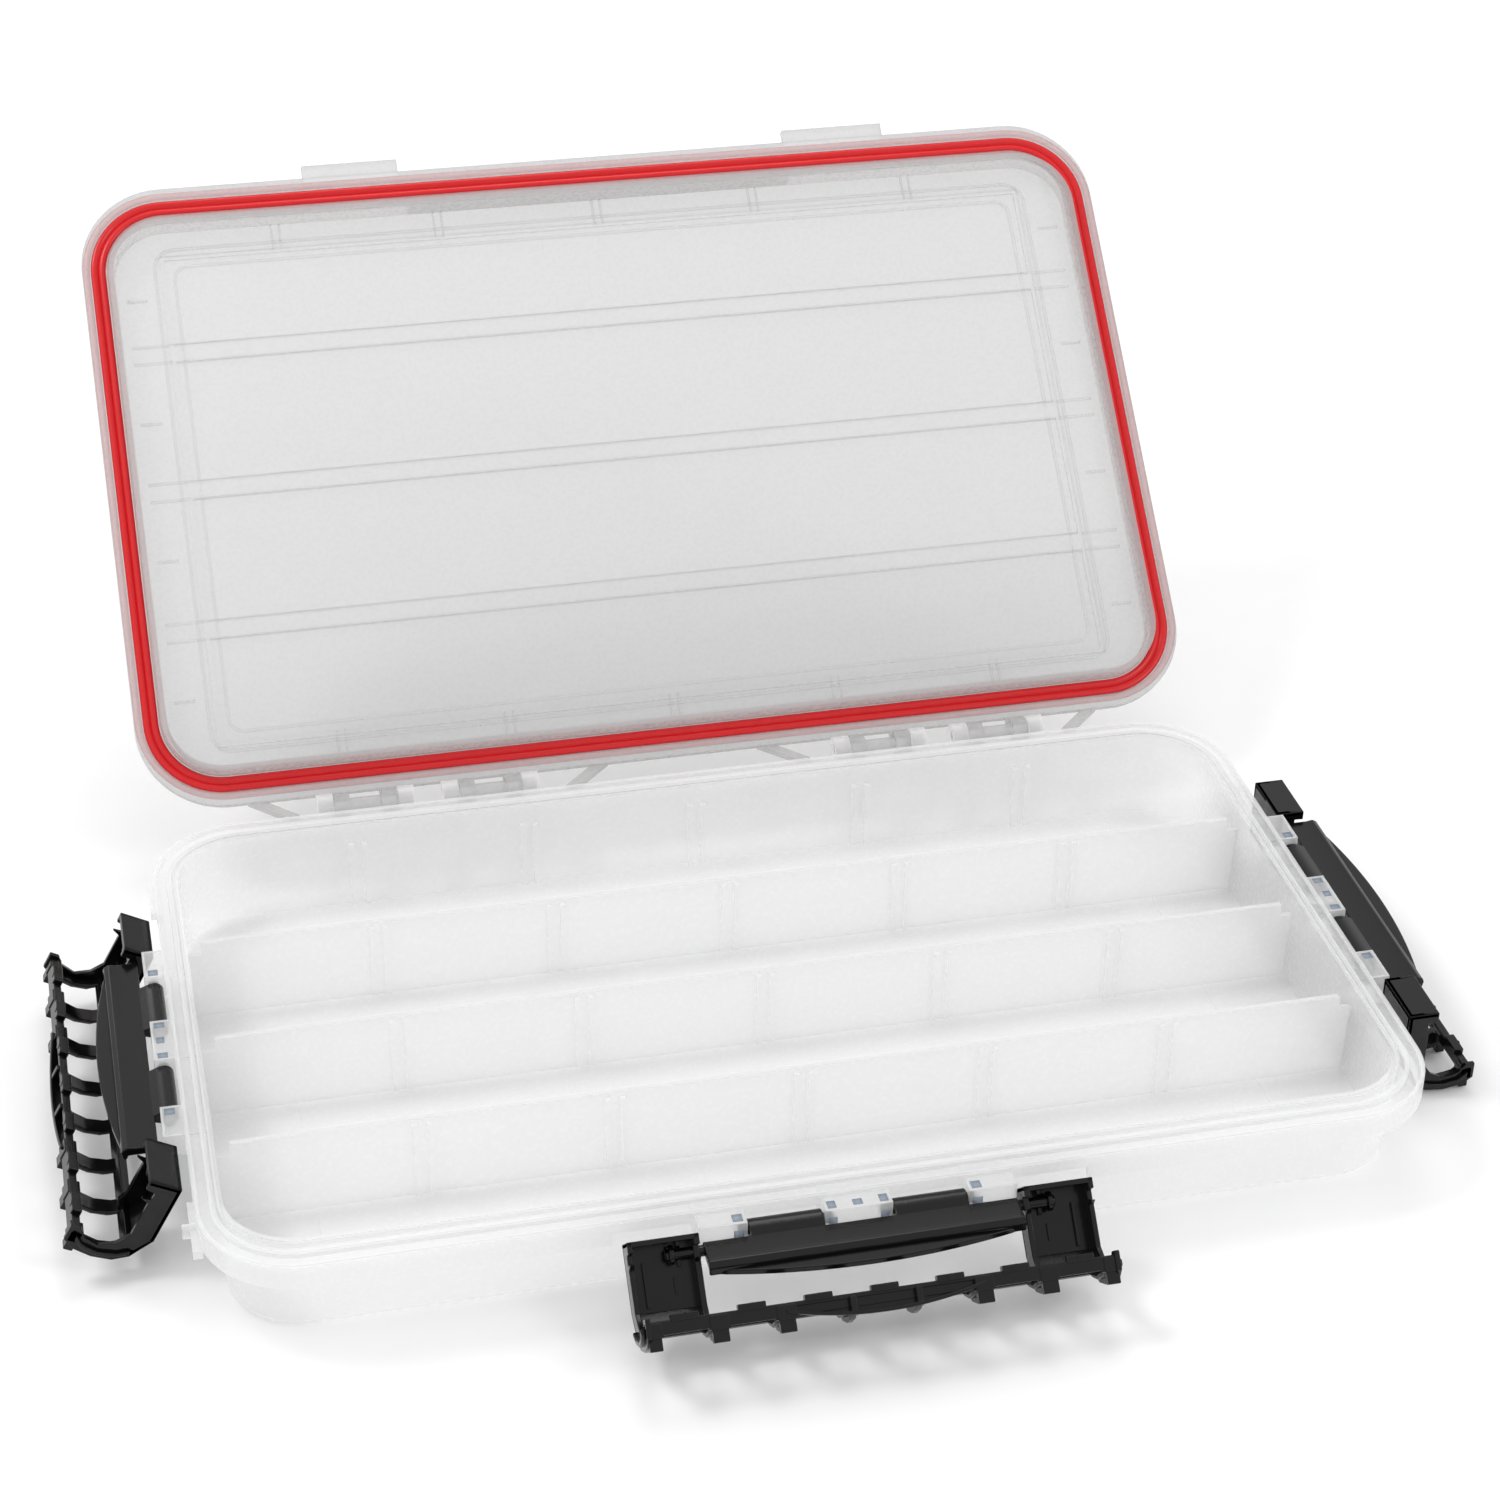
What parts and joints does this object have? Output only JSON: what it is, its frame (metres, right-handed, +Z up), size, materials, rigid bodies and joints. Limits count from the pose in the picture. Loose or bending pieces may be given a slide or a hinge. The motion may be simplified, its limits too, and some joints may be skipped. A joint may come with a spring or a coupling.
{
  "type": "tackle box",
  "caption": "Flat clear tackle box standing open: long dividers in the tray, hinged lid with a red ring seal, black hinged draw latches on the front and both ends.",
  "frame": {"origin": "centre of the rim's outline, on the plane the tray stands on", "axes": "+X along the length, +Y towards the lid hinge, +Z up"},
  "size_m": [0.4002, 0.4094, 0.1721],
  "materials": {
    "tray_clear": "clear moulded plastic, slightly frosted",
    "lid_clear": "clear moulded plastic, slightly frosted",
    "gasket_red": "soft red seal",
    "latch_black": "black moulded plastic"
  },
  "bodies": {
    "tray_body": {"tray": "tray_clear", "divider_back": "tray_clear", "divider_middle": "tray_clear", "divider_front": "tray_clear"},
    "lid_body": {"lid": "lid_clear", "gasket": "gasket_red"},
    "front_plate_body": {"front_latch_plate": "latch_black"},
    "front_bail_body": {"front_latch_bail": "latch_black"},
    "right_plate_body": {"right_latch_plate": "latch_black"},
    "right_bail_body": {"right_latch_bail": "latch_black"},
    "left_plate_body": {"left_latch_plate": "latch_black"},
    "left_bail_body": {"left_latch_bail": "latch_black"}
  },
  "joints": [
    {"name": "lid_hinge", "type": "hinge", "parent": "tray_body", "child": "lid_body", "pos_m": [0, 0.1075, 0.0285], "axis": [1, 0, 0], "range_deg": [0, 137.6]},
    {"name": "front_plate_hinge", "type": "hinge", "parent": "tray_body", "child": "front_plate_body", "pos_m": [0, -0.1062, 0.0246], "axis": [1, 0, 0], "range_deg": [0, 90]},
    {"name": "front_bail_hinge", "type": "hinge", "parent": "front_plate_body", "child": "front_bail_body", "pos_m": [0, -0.1114, 0.024], "axis": [-1, 0, 0], "range_deg": [0, 226]},
    {"name": "right_plate_hinge", "type": "hinge", "parent": "tray_body", "child": "right_plate_body", "pos_m": [0.1712, 0, 0.0246], "axis": [0, 1, 0], "range_deg": [0, 90]},
    {"name": "right_bail_hinge", "type": "hinge", "parent": "right_plate_body", "child": "right_bail_body", "pos_m": [0.1764, 0, 0.024], "axis": [0, -1, 0], "range_deg": [0, 270]},
    {"name": "left_plate_hinge", "type": "hinge", "parent": "tray_body", "child": "left_plate_body", "pos_m": [-0.1712, 0, 0.0246], "axis": [0, -1, 0], "range_deg": [0, 90]},
    {"name": "left_bail_hinge", "type": "hinge", "parent": "left_plate_body", "child": "left_bail_body", "pos_m": [-0.1764, 0, 0.024], "axis": [0, 1, 0], "range_deg": [0, 241]}
  ],
  "couplings": [
    {"joint": "front_bail_hinge", "follows": "front_plate_hinge", "ratio": 2.5111},
    {"joint": "right_bail_hinge", "follows": "right_plate_hinge", "ratio": 3},
    {"joint": "left_bail_hinge", "follows": "left_plate_hinge", "ratio": 2.6778}
  ]
}
